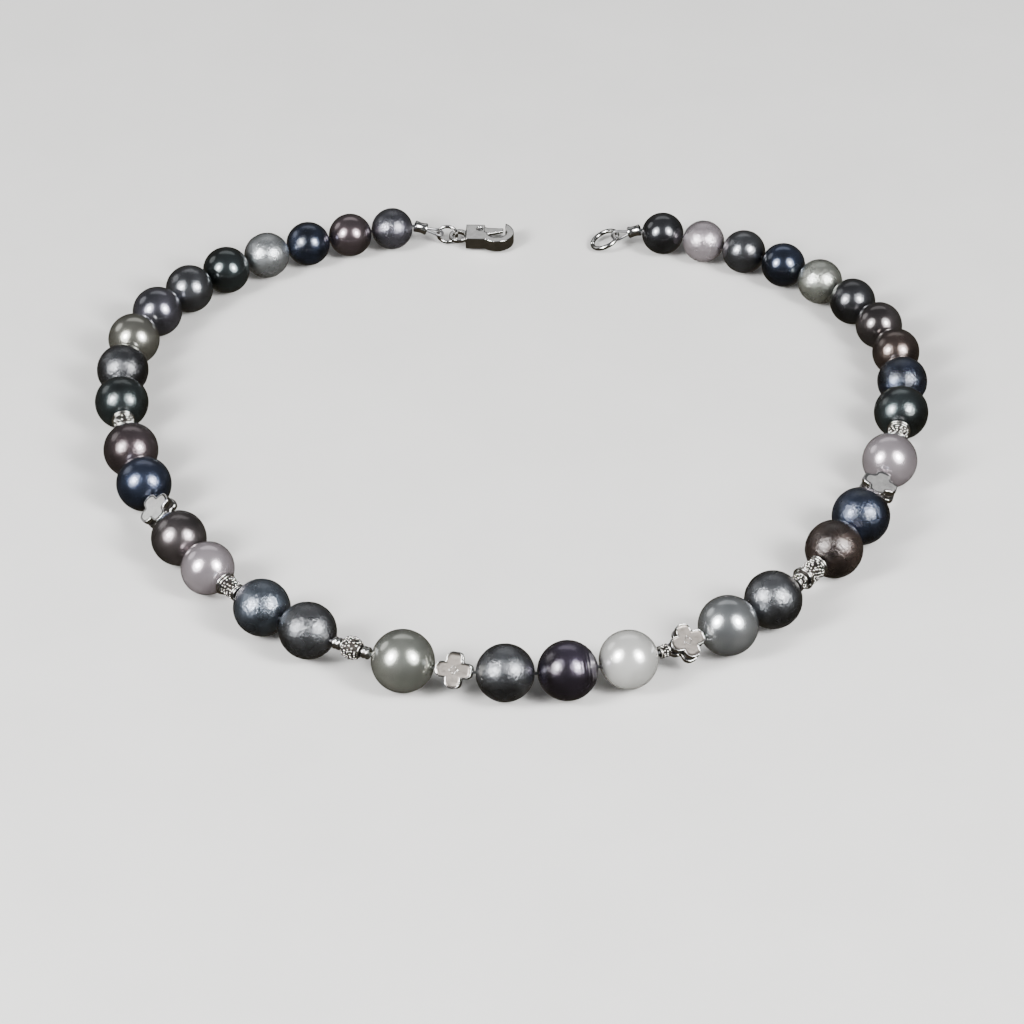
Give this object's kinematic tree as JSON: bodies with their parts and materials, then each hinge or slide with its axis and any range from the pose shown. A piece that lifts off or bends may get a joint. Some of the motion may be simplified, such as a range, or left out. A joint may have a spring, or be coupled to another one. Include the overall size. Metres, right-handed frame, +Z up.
{
  "type": "pearl necklace",
  "caption": "Strand of graduated dark and silvery pearls with granulated silver drums and clover beads, on beading wire, with a lobster clasp lying undone.",
  "frame": {"origin": "on the surface the strand lies on, under the middle of its bounding box", "axes": "+Z up off the surface, +X across the loop (to the wearer's left), -Y towards the front of the loop, where the largest pearls are"},
  "size_m": [0.1544, 0.145, 0.0113],
  "materials": {
    "pearl_charcoal": "pearl nacre, deep satin lustre",
    "polished_silver": "mirror polished silver",
    "pearl_silver_green": "pearl nacre, deep satin lustre",
    "oxidised_silver": "granulated silver, darkened in the recesses",
    "pearl_blue_grey": "pearl nacre, deep satin lustre",
    "pearl_lavender": "pearl nacre, deep satin lustre",
    "pearl_grey_brown": "pearl nacre, deep satin lustre",
    "pearl_black_blue": "pearl nacre, deep satin lustre",
    "pearl_aubergine": "pearl nacre, deep satin lustre",
    "pearl_black_green": "pearl nacre, deep satin lustre",
    "pearl_black": "pearl nacre, deep satin lustre",
    "pearl_olive_silver": "pearl nacre, deep satin lustre",
    "pearl_slate": "pearl nacre, deep satin lustre",
    "pearl_silver_grey": "pearl nacre, deep satin lustre",
    "pearl_purple_black": "pearl nacre, deep satin lustre",
    "pearl_white_silver": "pearl nacre, deep satin lustre",
    "pearl_dark_brown": "pearl nacre, deep satin lustre",
    "steel": "plain drawn wire"
  },
  "bodies": {
    "pearl_18": {"pearl_18": "pearl_charcoal", "beading_wire": "steel"},
    "pearl_01": {"pearl_01": "pearl_slate"},
    "pearl_02": {"pearl_02": "pearl_aubergine"},
    "pearl_03": {"pearl_03": "pearl_black_blue"},
    "pearl_04": {"pearl_04": "pearl_silver_grey"},
    "pearl_05": {"pearl_05": "pearl_black_green"},
    "pearl_06": {"pearl_06": "pearl_charcoal"},
    "pearl_07": {"pearl_07": "pearl_slate"},
    "pearl_08": {"pearl_08": "pearl_olive_silver"},
    "pearl_09": {"pearl_09": "pearl_black"},
    "pearl_10": {"pearl_10": "pearl_black_green"},
    "drum_01": {"drum_01": "oxidised_silver"},
    "pearl_11": {"pearl_11": "pearl_aubergine"},
    "pearl_12": {"pearl_12": "pearl_black_blue"},
    "clover_01": {"clover_01": "polished_silver"},
    "pearl_13": {"pearl_13": "pearl_grey_brown"},
    "pearl_14": {"pearl_14": "pearl_lavender"},
    "drum_02": {"drum_02": "oxidised_silver"},
    "pearl_15": {"pearl_15": "pearl_blue_grey"},
    "pearl_16": {"pearl_16": "pearl_charcoal"},
    "spacer01_spacer02_spacer03": {"spacer_01": "polished_silver", "spacer_02": "oxidised_silver", "spacer_03": "polished_silver"},
    "pearl_17": {"pearl_17": "pearl_silver_green"},
    "clover_02": {"clover_02": "polished_silver"},
    "pearl_19": {"pearl_19": "pearl_purple_black"},
    "pearl_20": {"pearl_20": "pearl_white_silver"},
    "spacer04_clover03": {"spacer_04": "oxidised_silver", "clover_03": "polished_silver"},
    "pearl_21": {"pearl_21": "pearl_silver_grey"},
    "pearl_22": {"pearl_22": "pearl_charcoal"},
    "spacer05_drum03": {"spacer_05": "oxidised_silver", "drum_03": "oxidised_silver"},
    "pearl_23": {"pearl_23": "pearl_dark_brown"},
    "pearl_24": {"pearl_24": "pearl_black_blue"},
    "clover_04": {"clover_04": "polished_silver"},
    "pearl_25": {"pearl_25": "pearl_lavender"},
    "drum_04": {"drum_04": "oxidised_silver"},
    "pearl_26": {"pearl_26": "pearl_black_green"},
    "pearl_27": {"pearl_27": "pearl_black_blue"},
    "pearl_28": {"pearl_28": "pearl_dark_brown"},
    "pearl_29": {"pearl_29": "pearl_grey_brown"},
    "pearl_30": {"pearl_30": "pearl_black"},
    "pearl_31": {"pearl_31": "pearl_silver_green"},
    "pearl_32": {"pearl_32": "pearl_black_blue"},
    "pearl_33": {"pearl_33": "pearl_charcoal"},
    "pearl_34": {"pearl_34": "pearl_lavender"},
    "pearl_35": {"pearl_35": "pearl_black"},
    "crimp_left": {"crimp_left": "polished_silver"},
    "crimp_right": {"crimp_right": "polished_silver"},
    "jump_ring": {"jump_ring": "polished_silver"},
    "catch_ring": {"catch_ring": "polished_silver"},
    "clasp": {"clasp_body": "polished_silver", "clasp_pin": "steel", "clasp_spring": "steel"},
    "clasp_lever": {"clasp_lever": "polished_silver"}
  },
  "joints": [
    {"name": "clasp_lever_open", "type": "hinge", "parent": "clasp", "child": "clasp_lever", "pos_m": [-0.00614, 0.06976, 0.00202], "axis": [0, 0, -1], "range_deg": [0, 14], "stiffness_Nm_per_rad": 0.002, "deforming": ["clasp_spring"]},
    {"name": "clasp_swing", "type": "hinge", "parent": "jump_ring", "child": "clasp", "pos_m": [-0.01062, 0.06889, 0.00202], "axis": [0, 0, 1], "range_deg": [-25, 25]},
    {"name": "jump_ring_swing", "type": "hinge", "parent": "crimp_left", "child": "jump_ring", "pos_m": [-0.01413, 0.06899, 0.00281], "axis": [0.0292, 0.9996, 0], "range_deg": [-20, 20]},
    {"name": "catch_ring_swing", "type": "hinge", "parent": "crimp_right", "child": "catch_ring", "pos_m": [0.02028, 0.06798, 0.00284], "axis": [-0.0292, -0.9996, 0], "range_deg": [-20, 20]},
    {"name": "bend_crimp_left", "type": "hinge", "parent": "pearl_01", "child": "crimp_left", "pos_m": [-0.01896, 0.06913, 0.00422], "axis": [0.0227, 0.7067, -0.7071], "range_deg": [-10, 10], "deforming": ["beading_wire"]},
    {"name": "bend_crimp_right", "type": "hinge", "parent": "pearl_35", "child": "crimp_right", "pos_m": [0.02502, 0.06785, 0.00422], "axis": [-0.0186, -0.7069, -0.7071], "range_deg": [-10, 10], "deforming": ["beading_wire"]},
    {"name": "bend_pearl_18_to_pearl_19", "type": "hinge", "parent": "pearl_18", "child": "pearl_19", "pos_m": [0.0042, -0.06714, 0.00554], "axis": [-0.7071, -0.0061, 0.7071], "range_deg": [-15, 15], "deforming": ["beading_wire"]},
    {"name": "bend_pearl_18_to_clover_02", "type": "hinge", "parent": "pearl_18", "child": "clover_02", "pos_m": [-0.00646, -0.06692, 0.00564], "axis": [-0.7054, 0.0495, 0.7071], "range_deg": [-12, 12], "deforming": ["beading_wire"]},
    {"name": "bend_pearl_19_to_pearl_20", "type": "hinge", "parent": "pearl_19", "child": "pearl_20", "pos_m": [0.01522, -0.06531, 0.00559], "axis": [0.7042, 0.0642, -0.7071], "range_deg": [-15, 15], "deforming": ["beading_wire"]},
    {"name": "bend_clover_02_to_pearl_17", "type": "hinge", "parent": "clover_02", "child": "pearl_17", "pos_m": [-0.01336, -0.06574, 0.00564], "axis": [0.7019, -0.0857, -0.7071], "range_deg": [-12, 12], "deforming": ["beading_wire"]},
    {"name": "bend_pearl_20_to_spacer04_clover03", "type": "hinge", "parent": "pearl_20", "child": "spacer04_clover03", "pos_m": [0.02544, -0.06163, 0.00557], "axis": [0.6968, 0.1201, -0.7071], "range_deg": [-12, 12], "deforming": ["beading_wire"]},
    {"name": "bend_pearl_17_to_spacer01_spacer02_spacer03", "type": "hinge", "parent": "pearl_17", "child": "spacer01_spacer02_spacer03", "pos_m": [-0.02434, -0.06207, 0.00567], "axis": [0.692, -0.1452, -0.7071], "range_deg": [-12, 12], "deforming": ["beading_wire"]},
    {"name": "bend_spacer04_clover03_to_pearl_21", "type": "hinge", "parent": "spacer04_clover03", "child": "pearl_21", "pos_m": [0.03342, -0.05726, 0.00557], "axis": [-0.6873, -0.1662, 0.7071], "range_deg": [-12, 12], "deforming": ["beading_wire"]},
    {"name": "bend_spacer01_spacer02_spacer03_to_pearl_16", "type": "hinge", "parent": "spacer01_spacer02_spacer03", "child": "pearl_16", "pos_m": [-0.03119, -0.05855, 0.00566], "axis": [-0.6827, 0.184, 0.7071], "range_deg": [-12, 12], "deforming": ["beading_wire"]},
    {"name": "bend_pearl_21_to_pearl_22", "type": "hinge", "parent": "pearl_21", "child": "pearl_22", "pos_m": [0.04225, -0.05059, 0.00554], "axis": [0.6716, 0.2213, 0.7071], "range_deg": [-15, 15], "deforming": ["beading_wire"]},
    {"name": "bend_pearl_16_to_pearl_15", "type": "hinge", "parent": "pearl_16", "child": "pearl_15", "pos_m": [-0.04001, -0.05238, 0.00542], "axis": [0.6661, -0.2373, 0.7071], "range_deg": [-15, 15], "deforming": ["beading_wire"]},
    {"name": "bend_pearl_22_to_spacer05_drum03", "type": "hinge", "parent": "pearl_22", "child": "spacer05_drum03", "pos_m": [0.04981, -0.04292, 0.00549], "axis": [-0.6519, -0.2739, -0.7071], "range_deg": [-12, 12], "deforming": ["beading_wire"]},
    {"name": "bend_pearl_15_to_drum_02", "type": "hinge", "parent": "pearl_15", "child": "drum_02", "pos_m": [-0.0477, -0.04514, 0.00527], "axis": [-0.6456, 0.2884, -0.7071], "range_deg": [-12, 12], "deforming": ["beading_wire"]},
    {"name": "bend_spacer05_drum03_to_pearl_23", "type": "hinge", "parent": "spacer05_drum03", "child": "pearl_23", "pos_m": [0.05449, -0.03693, 0.00549], "axis": [-0.6354, -0.3103, -0.7071], "range_deg": [-12, 12], "deforming": ["beading_wire"]},
    {"name": "bend_drum_02_to_pearl_14", "type": "hinge", "parent": "drum_02", "child": "pearl_14", "pos_m": [-0.05078, -0.0416, 0.00526], "axis": [-0.6352, 0.3107, -0.7071], "range_deg": [-12, 12], "deforming": ["beading_wire"]},
    {"name": "bend_pearl_23_to_pearl_24", "type": "hinge", "parent": "pearl_23", "child": "pearl_24", "pos_m": [0.06023, -0.0277, 0.00551], "axis": [0.6077, 0.3616, 0.7071], "range_deg": [-15, 15], "deforming": ["beading_wire"]},
    {"name": "bend_pearl_14_to_pearl_13", "type": "hinge", "parent": "pearl_14", "child": "pearl_13", "pos_m": [-0.05675, -0.03338, 0.00522], "axis": [0.6098, -0.358, 0.7071], "range_deg": [-15, 15], "deforming": ["beading_wire"]},
    {"name": "bend_pearl_24_to_clover_04", "type": "hinge", "parent": "pearl_24", "child": "clover_04", "pos_m": [0.06486, -0.01787, 0.00539], "axis": [-0.5748, -0.4118, 0.7071], "range_deg": [-12, 12], "deforming": ["beading_wire"]},
    {"name": "bend_pearl_13_to_clover_01", "type": "hinge", "parent": "pearl_13", "child": "clover_01", "pos_m": [-0.06183, -0.02436, 0.00526], "axis": [-0.5796, 0.4051, 0.7071], "range_deg": [-12, 12], "deforming": ["beading_wire"]},
    {"name": "bend_clover_04_to_pearl_25", "type": "hinge", "parent": "clover_04", "child": "pearl_25", "pos_m": [0.06725, -0.01129, 0.00539], "axis": [0.5506, 0.4436, -0.7071], "range_deg": [-12, 12], "deforming": ["beading_wire"]},
    {"name": "bend_clover_01_to_pearl_12", "type": "hinge", "parent": "clover_01", "child": "pearl_12", "pos_m": [-0.06469, -0.01797, 0.00527], "axis": [0.5565, -0.4362, -0.7071], "range_deg": [-12, 12], "deforming": ["beading_wire"]},
    {"name": "bend_pearl_25_to_drum_04", "type": "hinge", "parent": "pearl_25", "child": "drum_04", "pos_m": [0.06995, -0.00129, 0.00527], "axis": [0.5101, 0.4897, -0.7071], "range_deg": [-12, 12], "deforming": ["beading_wire"]},
    {"name": "bend_pearl_12_to_pearl_11", "type": "hinge", "parent": "pearl_12", "child": "pearl_11", "pos_m": [-0.06807, -0.00818, 0.00529], "axis": [0.5183, -0.481, -0.7071], "range_deg": [-15, 15], "deforming": ["beading_wire"]},
    {"name": "bend_drum_04_to_pearl_26", "type": "hinge", "parent": "drum_04", "child": "pearl_26", "pos_m": [0.07084, 0.00332, 0.00526], "axis": [-0.4897, -0.5101, 0.7071], "range_deg": [-12, 12], "deforming": ["beading_wire"]},
    {"name": "bend_pearl_11_to_drum_01", "type": "hinge", "parent": "pearl_11", "child": "drum_01", "pos_m": [-0.07047, 0.002, 0.00527], "axis": [-0.4741, 0.5246, 0.7071], "range_deg": [-12, 12], "deforming": ["beading_wire"]},
    {"name": "bend_pearl_26_to_pearl_27", "type": "hinge", "parent": "pearl_26", "child": "pearl_27", "pos_m": [0.0721, 0.0136, 0.00509], "axis": [0.4396, 0.5538, 0.7071], "range_deg": [-15, 15], "deforming": ["beading_wire"]},
    {"name": "bend_drum_01_to_pearl_10", "type": "hinge", "parent": "drum_01", "child": "pearl_10", "pos_m": [-0.07118, 0.00634, 0.00526], "axis": [0.4537, -0.5423, 0.7071], "range_deg": [-12, 12], "deforming": ["beading_wire"]},
    {"name": "bend_pearl_27_to_pearl_28", "type": "hinge", "parent": "pearl_27", "child": "pearl_28", "pos_m": [0.07235, 0.02323, 0.00479], "axis": [-0.3862, -0.5923, -0.7071], "range_deg": [-15, 15], "deforming": ["beading_wire"]},
    {"name": "bend_pearl_10_to_pearl_09", "type": "hinge", "parent": "pearl_10", "child": "pearl_09", "pos_m": [-0.07214, 0.01655, 0.00517], "axis": [-0.4016, 0.582, -0.7071], "range_deg": [-15, 15], "deforming": ["beading_wire"]},
    {"name": "bend_pearl_28_to_pearl_29", "type": "hinge", "parent": "pearl_28", "child": "pearl_29", "pos_m": [0.0707, 0.0322, 0.00464], "axis": [-0.3337, -0.6234, -0.7071], "range_deg": [-15, 15], "deforming": ["beading_wire"]},
    {"name": "bend_pearl_09_to_pearl_08", "type": "hinge", "parent": "pearl_09", "child": "pearl_08", "pos_m": [-0.07188, 0.02659, 0.00509], "axis": [-0.3448, 0.6174, -0.7071], "range_deg": [-15, 15], "deforming": ["beading_wire"]},
    {"name": "bend_pearl_29_to_pearl_30", "type": "hinge", "parent": "pearl_29", "child": "pearl_30", "pos_m": [0.06693, 0.04039, 0.00459], "axis": [0.2841, 0.6475, 0.7071], "range_deg": [-15, 15], "deforming": ["beading_wire"]},
    {"name": "bend_pearl_08_to_pearl_07", "type": "hinge", "parent": "pearl_08", "child": "pearl_07", "pos_m": [-0.06905, 0.03612, 0.00499], "axis": [0.2892, -0.6453, 0.7071], "range_deg": [-15, 15], "deforming": ["beading_wire"]},
    {"name": "bend_pearl_30_to_pearl_31", "type": "hinge", "parent": "pearl_30", "child": "pearl_31", "pos_m": [0.06159, 0.04752, 0.00454], "axis": [-0.2377, -0.6659, 0.7071], "range_deg": [-15, 15], "deforming": ["beading_wire"]},
    {"name": "bend_pearl_07_to_pearl_06", "type": "hinge", "parent": "pearl_07", "child": "pearl_06", "pos_m": [-0.06408, 0.04437, 0.00484], "axis": [-0.2386, 0.6656, 0.7071], "range_deg": [-15, 15], "deforming": ["beading_wire"]},
    {"name": "bend_pearl_31_to_pearl_32", "type": "hinge", "parent": "pearl_31", "child": "pearl_32", "pos_m": [0.05515, 0.05354, 0.00447], "axis": [0.1942, 0.6799, -0.7071], "range_deg": [-15, 15], "deforming": ["beading_wire"]},
    {"name": "bend_pearl_06_to_pearl_05", "type": "hinge", "parent": "pearl_06", "child": "pearl_05", "pos_m": [-0.05774, 0.05121, 0.00472], "axis": [0.1927, -0.6804, -0.7071], "range_deg": [-15, 15], "deforming": ["beading_wire"]},
    {"name": "bend_pearl_32_to_pearl_33", "type": "hinge", "parent": "pearl_32", "child": "pearl_33", "pos_m": [0.04809, 0.05845, 0.00439], "axis": [0.1529, 0.6904, -0.7071], "range_deg": [-15, 15], "deforming": ["beading_wire"]},
    {"name": "bend_pearl_05_to_pearl_04", "type": "hinge", "parent": "pearl_05", "child": "pearl_04", "pos_m": [-0.05054, 0.05681, 0.00462], "axis": [0.1499, -0.691, -0.7071], "range_deg": [-15, 15], "deforming": ["beading_wire"]},
    {"name": "bend_pearl_33_to_pearl_34", "type": "hinge", "parent": "pearl_33", "child": "pearl_34", "pos_m": [0.04057, 0.06242, 0.00432], "axis": [-0.1117, -0.6982, 0.7071], "range_deg": [-15, 15], "deforming": ["beading_wire"]},
    {"name": "bend_pearl_04_to_pearl_03", "type": "hinge", "parent": "pearl_04", "child": "pearl_03", "pos_m": [-0.04282, 0.06127, 0.00449], "axis": [-0.109, 0.6987, 0.7071], "range_deg": [-15, 15], "deforming": ["beading_wire"]},
    {"name": "bend_pearl_34_to_pearl_35", "type": "hinge", "parent": "pearl_34", "child": "pearl_35", "pos_m": [0.03287, 0.0655, 0.00424], "axis": [0.0689, 0.7037, 0.7071], "range_deg": [-15, 15], "deforming": ["beading_wire"]},
    {"name": "bend_pearl_03_to_pearl_02", "type": "hinge", "parent": "pearl_03", "child": "pearl_02", "pos_m": [-0.03493, 0.06471, 0.00437], "axis": [0.0689, -0.7037, 0.7071], "range_deg": [-15, 15], "deforming": ["beading_wire"]},
    {"name": "bend_pearl_02_to_pearl_01", "type": "hinge", "parent": "pearl_02", "child": "pearl_01", "pos_m": [-0.02694, 0.06729, 0.00427], "axis": [-0.0266, 0.7066, -0.7071], "range_deg": [-15, 15], "deforming": ["beading_wire"]}
  ]
}
